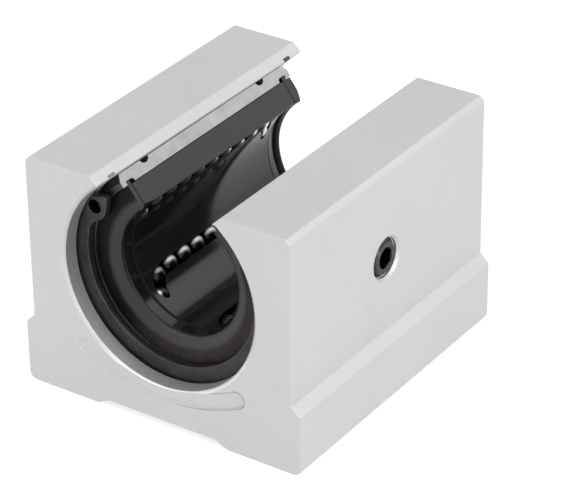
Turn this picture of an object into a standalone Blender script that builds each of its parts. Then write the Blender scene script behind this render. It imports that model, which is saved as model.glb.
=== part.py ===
"""Open linear ball bushing in an aluminium pillow block, for a 20 mm shaft.

Frame: X across the block, Y along the shaft, Z up. The origin is at the
middle of the mounting face, under the shaft axis. Metres throughout.
Angles round the shaft axis are measured from straight up (+Z), positive
towards +X.
"""
import math

import bpy
import bmesh
from mathutils import Vector

# ---------------------------------------------------------------- dimensions
# block
BLOCK_WIDTH = 0.0480            # across the base
BLOCK_LENGTH = 0.0510           # along the shaft
BLOCK_HEIGHT = 0.0375           # mounting face to the top of the legs
BODY_WIDTH = 0.0451             # above the shoulders
SHOULDER_TOP = 0.0112           # where the shoulder slope meets the body
SHOULDER_BOTTOM = 0.0098        # where the slope meets the base side
BASE_CORNER = 0.0013            # radius of the long bottom edges
TOP_CHAMFER = 0.0007            # outer long edges of the legs
AXIS_HEIGHT = 0.0230            # mounting face to shaft axis
RELIEF_HALF_WIDTH = 0.0115      # relief between the two mounting pads
RELIEF_TOP_HALF_WIDTH = 0.0094
RELIEF_DEPTH = 0.0010
BORE_RADIUS = 0.0163            # takes the 32 mm bushing
BORE_CHAMFER = 0.00035
SLOT_HALF_WIDTH = 0.0098        # between the lips of the legs
SLOT_TOP_HALF_WIDTH = 0.0111    # at the top face
LIP_HEIGHT = 0.0363             # bottom of the lip chamfer
GROOVE_RADIUS = 0.01695         # circlip groove in the bore
GROOVE_INNER = 0.0210           # from the middle of the block
GROOVE_OUTER = 0.0228
MOUNT_HOLE_SPACING = 0.0350     # square pattern
MOUNT_HOLE_RADIUS = 0.0025      # core of an M6 thread
MOUNT_HOLE_DEPTH = 0.0120
SCREW_HOLE_RADIUS = 0.0030      # M6, level with the shaft axis
SCREW_Y = -0.0010               # just in front of the middle of the side
ARC_OUTER_RADIUS = 0.0310       # shallow arc recess in each end face
ARC_INNER_RADIUS = 0.0286
ARC_LOWEST = 0.0183             # below the shaft axis
ARC_HALF_WIDTH = 0.0138
ARC_DEPTH = 0.0004

# bushing
SHAFT_RADIUS = 0.0100
OPENING = math.radians(37.5)    # each side of straight up
SLEEVE_OUTER = 0.0160
SLEEVE_INNER = 0.0142
SLEEVE_HALF = 0.0210
SLEEVE_CHAMFER_DEPTH = 0.0009    # radial, on the outside of each end
SLEEVE_CHAMFER_LENGTH = 0.00065
RING_GROOVE_POSITION = 0.01445
RING_GROOVE_WIDTH = 0.0016
RING_GROOVE_DEPTH = 0.00075
CHANNEL_RELIEF_RADIUS = 0.01462  # inside the sleeve, over the return rows
CHANNEL_RELIEF_HALF = 0.0173
TRACK_RADIUS = 0.01347          # raised tracks in the sleeve, behind the loaded rows
TRACK_HALF = 0.0127
TRACK_HALF_ANGLE = math.radians(5.5)
SNAP_GROOVE_RADIUS = 0.0148     # inside the sleeve, holds the rim of each end seal
SNAP_GROOVE_INNER = 0.0182
SNAP_GROOVE_OUTER = 0.0199
CAGE_OUTER = 0.0139
CAGE_INNER = 0.0103
CAGE_HALF = 0.0189
CAGE_TAPER_START = 0.0172       # the bore of the cage widens towards each end
CAGE_TAPER = 0.00035
SEAL_RADIUS = 0.0139
SEAL_RIM_RADIUS = 0.0145
SEAL_RIM_END = 0.0196
SEAL_INNER_END = 0.0192
SEAL_OUTER_END = 0.0208
SEAL_DISH_RADIUS = 0.0118
SEAL_DISH_DEPTH = 0.00045
SEAL_LIP_RADIUS = 0.01018

# circlip
CIRCLIP_OUTER = 0.01665
CIRCLIP_INNER = 0.0144
CIRCLIP_OFFSET = 0.00045        # the bore of the ring is off centre
CIRCLIP_NEAR = 0.0213
CIRCLIP_FAR = 0.0225
CIRCLIP_END = math.radians(55.2)
LUG_ANGLE = math.radians(59.3)  # the pliers' hole, from straight up
LUG_HOLE_RADIUS = 0.0011
LUG_HOLE_POSITION = 0.01505
# edge of a lug from the end of the ring round to its bore: radius, and
# degrees from the hole, positive away from the other lug
LUG_SHAPE = ((0.0158, -5.6), (0.0150, -9.6), (0.0143, -10.4), (0.0137, -7.2), (0.0132, -2.6),
             (0.01305, 0.6), (0.0132, 3.8), (0.01372, 7.0), (0.01425, 10.2))

# set screw
SCREW_RADIUS = 0.0027
SCREW_TIP = 0.0163
SCREW_FACE = 0.0223
SOCKET_FLATS = 0.0030
SOCKET_DEPTH = 0.0028

# balls
BALL_RADIUS = 0.0015875         # 1/8 inch
BALL_PITCH = 0.0034
BALLS_STRAIGHT = 7
BALLS_TURN = 3
LOADED_RADIUS = SHAFT_RADIUS + BALL_RADIUS
RETURN_RADIUS = 0.01272
CHANNEL_RADIUS = 0.00186
LINK_ANGLE = math.radians(76.0)  # a thin link joins the balls of a group
CIRCUIT_ANGLES = (-52.0, -124.0, 164.0, 92.0)   # loaded rows, degrees

TURN_RADIUS = BALLS_TURN * BALL_PITCH / math.pi
STRAIGHT_HALF = BALLS_STRAIGHT * BALL_PITCH / 2.0


# ------------------------------------------------------------------- helpers
def clear_scene():
    for obj in list(bpy.data.objects):
        bpy.data.objects.remove(obj, do_unlink=True)


def make_material(name, colour, roughness, metallic):
    mat = bpy.data.materials.new(name)
    mat.use_nodes = True
    shader = mat.node_tree.nodes["Principled BSDF"]
    shader.inputs["Base Color"].default_value = (*colour, 1.0)
    shader.inputs["Roughness"].default_value = roughness
    shader.inputs["Metallic"].default_value = metallic
    mat.diffuse_color = (*colour, 1.0)
    return mat


def new_object(name, points, faces, origin=(0.0, 0.0, 0.0), mat=None, smooth=True):
    """A closed mesh from world points, with its origin at the given place."""
    mesh = bpy.data.meshes.new(name)
    base = Vector(origin)
    mesh.from_pydata([Vector(p) - base for p in points], [], faces)
    bm = bmesh.new()
    bm.from_mesh(mesh)
    bmesh.ops.recalc_face_normals(bm, faces=bm.faces)
    if bm.calc_volume(signed=True) < 0.0:
        bmesh.ops.reverse_faces(bm, faces=bm.faces)
    bm.to_mesh(mesh)
    bm.free()
    if smooth:
        mesh.shade_smooth()
        mesh.set_sharp_from_angle(angle=math.radians(35.0))
    if mat is not None:
        mesh.materials.append(mat)
    obj = bpy.data.objects.new(name, mesh)
    obj.location = base
    bpy.context.scene.collection.objects.link(obj)
    return obj


def polar(radius, angle, y):
    """A point at an angle round the shaft axis."""
    return (radius * math.sin(angle), y, AXIS_HEIGHT + radius * math.cos(angle))


def arc(radius, start, end, count, centre=(0.0, 0.0)):
    """Points (x, z) on an arc about a centre measured from the shaft axis."""
    points = []
    for i in range(count + 1):
        angle = start + (end - start) * i / count
        points.append((centre[0] + radius * math.sin(angle),
                       AXIS_HEIGHT + centre[1] + radius * math.cos(angle)))
    return points


def extrude_y(name, outline, y0, y1, mat=None):
    """A prism along Y over an outline of (x, z) points."""
    n = len(outline)
    points = [(x, y0, z) for x, z in outline] + [(x, y1, z) for x, z in outline]
    faces = [tuple(range(n)), tuple(range(2 * n - 1, n - 1, -1))]
    for i in range(n):
        j = (i + 1) % n
        faces.append((i, i + n, j + n, j))
    return new_object(name, points, faces, mat=mat)


def turn_y(name, profile, start, end, count, mat=None):
    """Turns a closed profile of (radius, y) points about the shaft axis."""
    full = abs(abs(end - start) - 2.0 * math.pi) < 1e-9
    m = len(profile)
    rings = count if full else count + 1
    points = []
    for i in range(rings):
        angle = start + (end - start) * i / count
        points += [polar(r, angle, y) for r, y in profile]
    faces = []
    for i in range(count):
        a, b = i * m, ((i + 1) % rings) * m
        for k in range(m):
            l = (k + 1) % m
            faces.append((a + k, a + l, b + l, b + k))
    if not full:
        faces.append(tuple(range(m - 1, -1, -1)))
        faces.append(tuple(range((rings - 1) * m, rings * m)))
    return new_object(name, points, faces, mat=mat)


def turned_rod(name, profile, base, axis, across, count, mat=None, origin=None):
    """Turns an open profile of (radius, height) about an axis, with flat ends."""
    base, axis, across = Vector(base), Vector(axis), Vector(across)
    third = axis.cross(across)
    points = []
    for radius, height in profile:
        for i in range(count):
            angle = 2.0 * math.pi * i / count
            points.append(base + axis * height
                          + across * (radius * math.cos(angle))
                          + third * (radius * math.sin(angle)))
    faces = [tuple(range(count))]
    for k in range(len(profile) - 1):
        for i in range(count):
            j = (i + 1) % count
            faces.append((k * count + i, k * count + j,
                          (k + 1) * count + j, (k + 1) * count + i))
    faces.append(tuple(range(len(profile) * count - 1, (len(profile) - 1) * count - 1, -1)))
    return new_object(name, points, faces, origin=origin or (0, 0, 0), mat=mat)


def cut(obj, cutter, name, operation='DIFFERENCE'):
    """Cuts one closed mesh out of another; the cutter itself isn't a piece."""
    cutter.hide_render = True
    cutter.display_type = 'WIRE'
    modifier = obj.modifiers.new(name, 'BOOLEAN')
    modifier.operation = operation
    modifier.solver = 'EXACT'
    modifier.object = cutter


# ------------------------------------------------------------------- circuits
class Circuit:
    """The path of one ball circuit.

    It lies in a plane parallel to the shaft. The loaded row touches the
    shaft, the return row runs further out, inside the cage.
    """

    def __init__(self, degrees):
        loaded = math.radians(degrees)
        width = 2.0 * TURN_RADIUS
        cosine = ((LOADED_RADIUS ** 2 + RETURN_RADIUS ** 2 - width ** 2)
                  / (2.0 * LOADED_RADIUS * RETURN_RADIUS))
        self.loaded_angle = loaded
        self.return_angle = loaded - math.acos(cosine)
        self.loaded = Vector(polar(LOADED_RADIUS, self.loaded_angle, 0.0))
        self.back = Vector(polar(RETURN_RADIUS, self.return_angle, 0.0))
        self.middle = (self.loaded + self.back) / 2.0
        self.across = (self.back - self.loaded).normalized()
        out = Vector((0.0, 1.0, 0.0)).cross(self.across)
        if out.dot(self.middle - Vector((0.0, 0.0, AXIS_HEIGHT))) < 0.0:
            out = -out
        self.out = out.normalized()

    def turn_centre(self, end):
        return self.middle + Vector((0.0, end * STRAIGHT_HALF, 0.0))

    def turn_point(self, end, t, radius=TURN_RADIUS):
        """A point of a turn; t runs from 0 at the loaded row to pi."""
        return (self.turn_centre(end)
                + self.across * (-radius * math.cos(t))
                + Vector((0.0, end * radius * math.sin(t), 0.0)))


def bead_rings():
    """Offset along the path and radius of the rings that make one ball."""
    rings = []
    for angle in (-LINK_ANGLE, -LINK_ANGLE * 0.38, LINK_ANGLE * 0.38, LINK_ANGLE):
        rings.append((BALL_RADIUS * math.sin(angle), BALL_RADIUS * math.cos(angle)))
    return rings


def bead_string(name, places, origin, mat, count=6):
    """Balls in a row, joined by a thin link, as one closed mesh.

    Each place is a function of the offset along the path that returns the
    centre of a ring and its two directions.
    """
    points, rings = [], 0
    for place in places:
        for offset, radius in bead_rings():
            centre, u, v = place(offset)
            for i in range(count):
                angle = 2.0 * math.pi * (i + 0.5) / count
                points.append(centre + u * (radius * math.cos(angle))
                              + v * (radius * math.sin(angle)))
            rings += 1
    faces = [tuple(range(count))]
    for k in range(rings - 1):
        for i in range(count):
            j = (i + 1) % count
            faces.append((k * count + i, k * count + j,
                          (k + 1) * count + j, (k + 1) * count + i))
    faces.append(tuple(range(rings * count - 1, (rings - 1) * count - 1, -1)))
    return new_object(name, points, faces, origin=origin, mat=mat)


def straight_places(row, out, across):
    places = []
    for k in range(BALLS_STRAIGHT):
        y = -STRAIGHT_HALF + BALL_PITCH * (k + 0.5)

        def place(offset, y=y):
            return row + Vector((0.0, y + offset, 0.0)), out, across
        places.append(place)
    return places


def turn_places(circuit, end):
    places = []
    for k in range(BALLS_TURN):
        t0 = math.pi * (k + 0.5) / BALLS_TURN

        def place(offset, t0=t0):
            t = t0 + offset / TURN_RADIUS
            point = circuit.turn_point(end, t)
            radial = (point - circuit.turn_centre(end)).normalized()
            return point, circuit.out, radial
        places.append(place)
    return places


def channel_cutter(name, circuit):
    """The closed track of one circuit, open to the outside of the cage.

    Its section is a half round, of the channel's radius, with straight
    sides that run out past the cage. Where the loaded row comes close to
    the shaft the half round breaks through the inside of the cage, and
    that slot is narrower than a ball.
    """
    section = []
    steps = 6
    for i in range(steps + 1):
        angle = math.pi * i / steps
        section.append((-CHANNEL_RADIUS * math.cos(angle), -CHANNEL_RADIUS * math.sin(angle)))
    section.append((CHANNEL_RADIUS, 0.0040))
    section.append((-CHANNEL_RADIUS, 0.0040))
    stations = []
    turns = 8
    for end in (-1.0, 1.0):
        for i in range(turns + 1):
            t = math.pi * i / turns
            if end > 0.0:
                t = math.pi - t
            centre = circuit.turn_point(end, t)
            radial = (centre - circuit.turn_centre(end)).normalized()
            stations.append((centre, radial))
    m = len(section)
    points = []
    for centre, radial in stations:
        for side, height in section:
            points.append(centre + radial * side + circuit.out * height)
    faces = []
    for i in range(len(stations)):
        a, b = i * m, ((i + 1) % len(stations)) * m
        for k in range(m):
            l = (k + 1) % m
            faces.append((a + k, a + l, b + l, b + k))
    return new_object(name, points, faces, smooth=False)


# --------------------------------------------------------------------- pieces
def block_outline():
    half, body, relief = BLOCK_WIDTH / 2.0, BODY_WIDTH / 2.0, RELIEF_HALF_WIDTH
    right = [(RELIEF_TOP_HALF_WIDTH, RELIEF_DEPTH), (relief, 0.0)]
    for i in range(5):
        angle = math.pi / 2.0 * i / 4
        right.append((half - BASE_CORNER + BASE_CORNER * math.sin(angle),
                      BASE_CORNER - BASE_CORNER * math.cos(angle)))
    right += [(half, SHOULDER_BOTTOM), (body, SHOULDER_TOP),
              (body, BLOCK_HEIGHT - TOP_CHAMFER), (body - TOP_CHAMFER, BLOCK_HEIGHT),
              (SLOT_TOP_HALF_WIDTH, BLOCK_HEIGHT), (SLOT_HALF_WIDTH, LIP_HEIGHT)]
    lip = math.asin(SLOT_HALF_WIDTH / BORE_RADIUS)
    bore = arc(BORE_RADIUS, lip, 2.0 * math.pi - lip, 44)
    left = [(-x, z) for x, z in reversed(right)]
    return right + bore + left


def mouth_profile(end):
    reach = 0.0010
    inner = BORE_RADIUS - 0.0020
    face = BLOCK_LENGTH / 2.0
    return [(inner, end * (face + reach)),
            (BORE_RADIUS + BORE_CHAMFER + reach, end * (face + reach)),
            (BORE_RADIUS - 0.0004, end * (face - BORE_CHAMFER - 0.0004)),
            (inner, end * (face - BORE_CHAMFER - 0.0004))]


def arc_recess_outline():
    """A band between two arcs about a centre above the shaft axis."""
    centre = ARC_OUTER_RADIUS - ARC_LOWEST
    outer = math.asin(ARC_HALF_WIDTH / ARC_OUTER_RADIUS)
    middle_radius = (ARC_OUTER_RADIUS + ARC_INNER_RADIUS) / 2.0
    end_radius = (ARC_OUTER_RADIUS - ARC_INNER_RADIUS) / 2.0
    points = arc(ARC_OUTER_RADIUS, math.pi - outer, math.pi + outer, 20, (0.0, centre))
    for i in range(1, 6):
        turn = math.pi * i / 6
        radius = middle_radius + end_radius * math.cos(turn)
        swing = math.pi + outer + end_radius * math.sin(turn) / middle_radius
        points.append((radius * math.sin(swing), AXIS_HEIGHT + centre + radius * math.cos(swing)))
    points += arc(ARC_INNER_RADIUS, math.pi + outer, math.pi - outer, 20, (0.0, centre))
    for i in range(1, 6):
        turn = math.pi * i / 6
        radius = middle_radius - end_radius * math.cos(turn)
        swing = math.pi - outer - end_radius * math.sin(turn) / middle_radius
        points.append((radius * math.sin(swing), AXIS_HEIGHT + centre + radius * math.cos(swing)))
    return points


def make_housing(mat):
    face = BLOCK_LENGTH / 2.0
    block = extrude_y("housing", block_outline(), -face, face, mat)
    full = 2.0 * math.pi
    for label, end in (("front", -1.0), ("rear", 1.0)):
        groove = turn_y("cut_groove_" + label,
                        [(0.0145, end * GROOVE_INNER), (GROOVE_RADIUS, end * GROOVE_INNER),
                         (GROOVE_RADIUS, end * GROOVE_OUTER), (0.0145, end * GROOVE_OUTER)],
                        math.radians(2.5), math.radians(2.5) + full, 48)
        cut(block, groove, "groove_" + label)
        mouth = turn_y("cut_mouth_" + label, mouth_profile(end),
                       math.radians(1.2), math.radians(1.2) + full, 48)
        cut(block, mouth, "mouth_" + label)
        depth = sorted((end * (face - ARC_DEPTH), end * (face + 0.001)))
        recess = extrude_y("cut_recess_" + label, arc_recess_outline(), depth[0], depth[1])
        cut(block, recess, "recess_" + label)
    half = MOUNT_HOLE_SPACING / 2.0
    number = 0
    for sx in (-1.0, 1.0):
        for sy in (-1.0, 1.0):
            number += 1
            hole = turned_rod("cut_mount_hole_%d" % number,
                              [(MOUNT_HOLE_RADIUS, -0.001),
                               (MOUNT_HOLE_RADIUS, MOUNT_HOLE_DEPTH),
                               (0.0002, MOUNT_HOLE_DEPTH + 0.0013)],
                              (sx * half, sy * half, 0.0), (0, 0, 1), (1, 0, 0), 20)
            cut(block, hole, "mount_hole_%d" % number)
    screw_hole = turned_rod("cut_screw_hole",
                            [(SCREW_HOLE_RADIUS, -0.011), (SCREW_HOLE_RADIUS, -0.0005),
                             (SCREW_HOLE_RADIUS + 0.0015, 0.0010)],
                            (BODY_WIDTH / 2.0, SCREW_Y, AXIS_HEIGHT), (1, 0, 0), (0, 1, 0), 28)
    cut(block, screw_hole, "screw_hole")
    return block


def make_sleeve(mat, circuits):
    groove = RING_GROOVE_POSITION - RING_GROOVE_WIDTH / 2.0
    far = RING_GROOVE_POSITION + RING_GROOVE_WIDTH / 2.0
    deep = SLEEVE_OUTER - RING_GROOVE_DEPTH
    half_profile = [(SLEEVE_OUTER, groove), (deep, groove), (deep, far), (SLEEVE_OUTER, far),
                    (SLEEVE_OUTER, SLEEVE_HALF - SLEEVE_CHAMFER_LENGTH),
                    (SLEEVE_OUTER - SLEEVE_CHAMFER_DEPTH, SLEEVE_HALF),
                    (SLEEVE_INNER + 0.0002, SLEEVE_HALF), (SLEEVE_INNER, SLEEVE_HALF - 0.0002),
                    (SLEEVE_INNER, SNAP_GROOVE_OUTER), (SNAP_GROOVE_RADIUS, SNAP_GROOVE_OUTER),
                    (SNAP_GROOVE_RADIUS, SNAP_GROOVE_INNER), (SLEEVE_INNER, SNAP_GROOVE_INNER)]
    profile = half_profile + [(r, -y) for r, y in reversed(half_profile)]
    sleeve = turn_y("outer_sleeve", profile, OPENING, 2.0 * math.pi - OPENING, 41, mat)
    for number, circuit in enumerate(circuits, 1):
        start = (circuit.loaded_angle + circuit.return_angle) / 2.0
        end = circuit.return_angle - math.radians(9.6)
        relief = turn_y("cut_relief_%d" % number,
                        [(0.0130, -CHANNEL_RELIEF_HALF),
                         (CHANNEL_RELIEF_RADIUS, -CHANNEL_RELIEF_HALF),
                         (CHANNEL_RELIEF_RADIUS, CHANNEL_RELIEF_HALF),
                         (0.0130, CHANNEL_RELIEF_HALF)], start, end, 5)
        cut(sleeve, relief, "relief_%d" % number)
        track = turn_y("add_track_%d" % number,
                       [(TRACK_RADIUS, -TRACK_HALF), (TRACK_RADIUS, TRACK_HALF),
                        (0.0146, TRACK_HALF + 0.0008), (0.0146, -TRACK_HALF - 0.0008)],
                       circuit.loaded_angle - TRACK_HALF_ANGLE,
                       circuit.loaded_angle + TRACK_HALF_ANGLE, 3)
        cut(sleeve, track, "track_%d" % number, 'UNION')
    return sleeve


def make_cage(mat, circuits):
    c = CAGE_TAPER
    profile = [(CAGE_OUTER, -CAGE_HALF), (CAGE_OUTER, CAGE_HALF),
               (CAGE_INNER + c, CAGE_HALF), (CAGE_INNER, CAGE_TAPER_START),
               (CAGE_INNER, -CAGE_TAPER_START), (CAGE_INNER + c, -CAGE_HALF)]
    cage = turn_y("ball_retainer", profile, OPENING + 0.004, 2.0 * math.pi - OPENING - 0.004,
                  42, mat)
    for number, circuit in enumerate(circuits, 1):
        cut(cage, channel_cutter("cut_channel_%d" % number, circuit), "channel_%d" % number)
    return cage


def make_seal(name, end, mat):
    """A flat ring, dished towards its lip, with a rim that snaps into the sleeve."""
    profile = [(SEAL_RIM_RADIUS, end * SEAL_INNER_END), (SEAL_RIM_RADIUS, end * SEAL_RIM_END),
               (SEAL_RADIUS, end * SEAL_RIM_END), (SEAL_RADIUS, end * SEAL_OUTER_END),
               (SEAL_DISH_RADIUS, end * SEAL_OUTER_END),
               (SEAL_LIP_RADIUS, end * (SEAL_OUTER_END - SEAL_DISH_DEPTH)),
               (SEAL_LIP_RADIUS, end * (SEAL_OUTER_END - SEAL_DISH_DEPTH - 0.00035)),
               (0.01070, end * SEAL_INNER_END)]
    return turn_y(name, profile, OPENING + 0.008, 2.0 * math.pi - OPENING - 0.008, 40, mat)


def circlip_outline():
    """The ring, deepest opposite its ends, with a lug at each end."""
    outer = arc(CIRCLIP_OUTER, CIRCLIP_END, 2.0 * math.pi - CIRCLIP_END, 40)

    def inner_radius(angle):
        shift = CIRCLIP_OFFSET
        a = shift * math.cos(angle)
        return a + math.sqrt(a * a + CIRCLIP_INNER ** 2 - shift ** 2)

    def lug_side(sign):
        side = [(r, LUG_ANGLE + math.radians(turn)) for r, turn in LUG_SHAPE]
        return [(r * math.sin(sign * a), AXIS_HEIGHT + r * math.cos(sign * a)) for r, a in side]

    start, steps = LUG_ANGLE + math.radians(LUG_SHAPE[-1][1] + 3.5), 32
    ring = []
    for i in range(steps + 1):
        angle = start + (2.0 * math.pi - 2.0 * start) * i / steps
        r = inner_radius(angle)
        ring.append((r * math.sin(angle), AXIS_HEIGHT + r * math.cos(angle)))
    return outer + lug_side(-1.0) + list(reversed(ring)) + list(reversed(lug_side(1.0)))


def make_circlip(name, end, mat):
    span = sorted((end * CIRCLIP_NEAR, end * CIRCLIP_FAR))
    ring = extrude_y(name, circlip_outline(), span[0], span[1], mat)
    angle = LUG_ANGLE
    for label, sign in (("left", -1.0), ("right", 1.0)):
        centre = polar(LUG_HOLE_POSITION, sign * angle, span[0] - 0.001)
        hole = turned_rod("cut_%s_%s_hole" % (name, label),
                          [(LUG_HOLE_RADIUS, 0.0), (LUG_HOLE_RADIUS, 0.0032)],
                          centre, (0, 1, 0), (1, 0, 0), 14)
        cut(ring, hole, "hole_" + label)
    return ring


def make_set_screw(mat):
    axis = (0.0, SCREW_Y, AXIS_HEIGHT)
    screw = turned_rod("set_screw",
                       [(SCREW_RADIUS - 0.0007, SCREW_TIP), (SCREW_RADIUS, SCREW_TIP + 0.0006),
                        (SCREW_RADIUS, SCREW_FACE - 0.0004), (SCREW_RADIUS - 0.0004, SCREW_FACE)],
                       axis, (1, 0, 0), (0, 1, 0), 24, mat, origin=axis)
    corner = SOCKET_FLATS / math.sqrt(3.0)
    socket = turned_rod("cut_socket", [(corner * 0.92, SCREW_FACE - SOCKET_DEPTH),
                                       (corner, SCREW_FACE - SOCKET_DEPTH + 0.0004),
                                       (corner, SCREW_FACE + 0.001)],
                        axis, (1, 0, 0), (0, 1, 0), 6)
    cut(screw, socket, "socket")
    return screw


def make_balls(circuits, mat):
    for number, circuit in enumerate(circuits, 1):
        label = "circuit_%d_" % number
        for kind, row in (("loaded_balls", circuit.loaded), ("return_balls", circuit.back)):
            bead_string(label + kind, straight_places(row, circuit.out, circuit.across),
                        row, mat)
        for kind, end in (("front_turn_balls", -1.0), ("rear_turn_balls", 1.0)):
            bead_string(label + kind, turn_places(circuit, end),
                        circuit.turn_centre(end), mat)


def main():
    clear_scene()
    aluminium = make_material("aluminium", (0.78, 0.78, 0.78), 0.42, 1.0)
    steel = make_material("bearing_steel", (0.70, 0.70, 0.70), 0.32, 1.0)
    ball_steel = make_material("ball_steel", (0.86, 0.86, 0.86), 0.10, 1.0)
    plastic = make_material("black_plastic", (0.020, 0.020, 0.021), 0.42, 0.0)
    rubber = make_material("black_rubber", (0.014, 0.013, 0.013), 0.62, 0.0)
    spring_steel = make_material("blackened_spring_steel", (0.055, 0.055, 0.057), 0.38, 1.0)
    screw_steel = make_material("blackened_screw_steel", (0.075, 0.075, 0.078), 0.36, 1.0)

    circuits = [Circuit(angle) for angle in CIRCUIT_ANGLES]
    make_housing(aluminium)
    make_sleeve(steel, circuits)
    make_cage(plastic, circuits)
    make_seal("front_end_seal", -1.0, rubber)
    make_seal("rear_end_seal", 1.0, rubber)
    make_circlip("front_circlip", -1.0, spring_steel)
    make_circlip("rear_circlip", 1.0, spring_steel)
    make_set_screw(screw_steel)
    make_balls(circuits, ball_steel)
    bpy.context.view_layer.update()


main()
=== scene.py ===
"""Looks of the open linear ball bushing in its aluminium pillow block.

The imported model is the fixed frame. Every piece is rebuilt here with its real
edges, threads, track slots and round balls, in the same place and size, and
gets a procedural material. Metres, +Z up, the shaft axis along Y.
"""
import math

import bpy
import bmesh
from mathutils import Matrix, Vector


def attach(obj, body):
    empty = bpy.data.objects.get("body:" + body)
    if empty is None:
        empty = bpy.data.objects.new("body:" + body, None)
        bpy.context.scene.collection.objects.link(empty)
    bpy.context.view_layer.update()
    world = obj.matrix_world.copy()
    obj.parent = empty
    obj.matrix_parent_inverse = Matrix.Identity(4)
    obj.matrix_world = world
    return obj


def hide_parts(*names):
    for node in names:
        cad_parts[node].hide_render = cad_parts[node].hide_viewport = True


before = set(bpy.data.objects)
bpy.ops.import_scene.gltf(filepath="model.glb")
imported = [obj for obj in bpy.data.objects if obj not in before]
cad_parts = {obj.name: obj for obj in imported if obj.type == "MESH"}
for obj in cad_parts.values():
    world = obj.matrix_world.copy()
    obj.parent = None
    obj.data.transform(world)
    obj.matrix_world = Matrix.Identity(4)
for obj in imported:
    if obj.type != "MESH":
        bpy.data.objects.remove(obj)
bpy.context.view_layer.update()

# ---------------------------------------------------------------- dimensions
AXIS = 0.0230
WIDTH, LENGTH, HEIGHT = 0.0480, 0.0510, 0.0375
BODY = 0.0451
SHOULDER_TOP, SHOULDER_BOTTOM = 0.0112, 0.0098
BASE_CORNER, TOP_CHAMFER = 0.0013, 0.0007
RELIEF, RELIEF_TOP, RELIEF_DEPTH = 0.0115, 0.0094, 0.0010
BORE = 0.0163
SLOT, SLOT_TOP, LIP = 0.0098, 0.0111, 0.0363
GROOVE, GROOVE_IN, GROOVE_OUT = 0.01695, 0.0210, 0.0228
HOLE_SPACING, HOLE_DEPTH = 0.0350, 0.0120
SCREW_Y = -0.0010
ARC_OUT, ARC_IN, ARC_LOWEST, ARC_HALF, ARC_DEPTH = 0.0310, 0.0286, 0.0183, 0.0138, 0.0004

OPENING = math.radians(37.5)
SLEEVE_OUT, SLEEVE_IN, SLEEVE_HALF = 0.01624, 0.01420, 0.0210
RING_AT, RING_HALF, RING_DEPTH = 0.01445, 0.00095, 0.00072
RELIEF_RADIUS, RELIEF_HALF = 0.01462, 0.0173
TRACK_RADIUS, TRACK_HALF, TRACK_ANGLE = 0.01324, 0.0127, math.radians(5.5)
SNAP_RADIUS, SNAP_IN, SNAP_OUT = 0.0148, 0.0182, 0.0199
CAGE_OUT, CAGE_IN, CAGE_HALF = 0.01413, 0.0103, 0.01902
TAPER_AT, TAPER = 0.0172, 0.00035
SEAL_OUT, SEAL_RIM, SEAL_RIM_END = 0.01413, 0.01472, 0.01984
SEAL_IN_END, SEAL_OUT_END, SEAL_LIP = 0.01908, 0.0208, 0.01018
DISH_RADIUS, DISH_DEPTH = 0.0118, 0.00045
CLIP_OUT, CLIP_IN, CLIP_SHIFT = 0.01688, 0.0144, 0.00045
CLIP_NEAR, CLIP_FAR = 0.02115, 0.02235
CLIP_END, LUG_ANGLE = math.radians(55.2), math.radians(59.3)
LUG_HOLE, LUG_HOLE_AT = 0.00108, 0.01505
# edge of a lug from the end of the ring round to its bore: radius, and
# degrees from the hole, positive away from the other lug
LUG_SHAPE = ((0.0158, -5.6), (0.0150, -9.6), (0.0143, -10.4), (0.01370, -7.2), (0.01320, -2.6),
             (0.01305, 0.6), (0.01320, 3.8), (0.01372, 7.0), (0.01425, 10.2))

BALL = 0.0015875
PITCH, STRAIGHT, TURN = 0.0034, 7, 3
LOADED = 0.0100 + BALL
RETURN = 0.01272
CHANNEL = 0.00168
CIRCUITS = (-52.0, -124.0, 164.0, 92.0)
TURN_RADIUS = TURN * PITCH / math.pi
STRAIGHT_HALF = STRAIGHT * PITCH / 2.0
FULL = 2.0 * math.pi


# ------------------------------------------------------------------- meshes
def link(name, mesh):
    obj = bpy.data.objects.new(name, mesh)
    bpy.context.scene.collection.objects.link(obj)
    return obj


def make(name, points, faces):
    mesh = bpy.data.meshes.new(name)
    mesh.from_pydata([Vector(p) for p in points], [], faces)
    bm = bmesh.new()
    bm.from_mesh(mesh)
    bmesh.ops.recalc_face_normals(bm, faces=bm.faces)
    if bm.calc_volume(signed=True) < 0.0:
        bmesh.ops.reverse_faces(bm, faces=bm.faces)
    bm.to_mesh(mesh)
    bm.free()
    return link(name, mesh)


def polar(radius, angle, y):
    return (radius * math.sin(angle), y, AXIS + radius * math.cos(angle))


def rings_to_faces(rings, m, closed):
    faces = []
    for i in range(rings if closed else rings - 1):
        a, b = i * m, ((i + 1) % rings) * m
        for k in range(m):
            n = (k + 1) % m
            faces.append((a + k, a + n, b + n, b + k))
    if not closed:
        faces.append(tuple(range(m - 1, -1, -1)))
        faces.append(tuple(range((rings - 1) * m, rings * m)))
    return faces


def turn_y(name, profile, start, end, count):
    """Turns a closed profile of (radius, y) about the shaft axis."""
    closed = abs(abs(end - start) - FULL) < 1e-9
    rings = count if closed else count + 1
    points = []
    for i in range(rings):
        angle = start + (end - start) * i / count
        points += [polar(r, angle, y) for r, y in profile]
    return make(name, points, rings_to_faces(rings, len(profile), closed))


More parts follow.
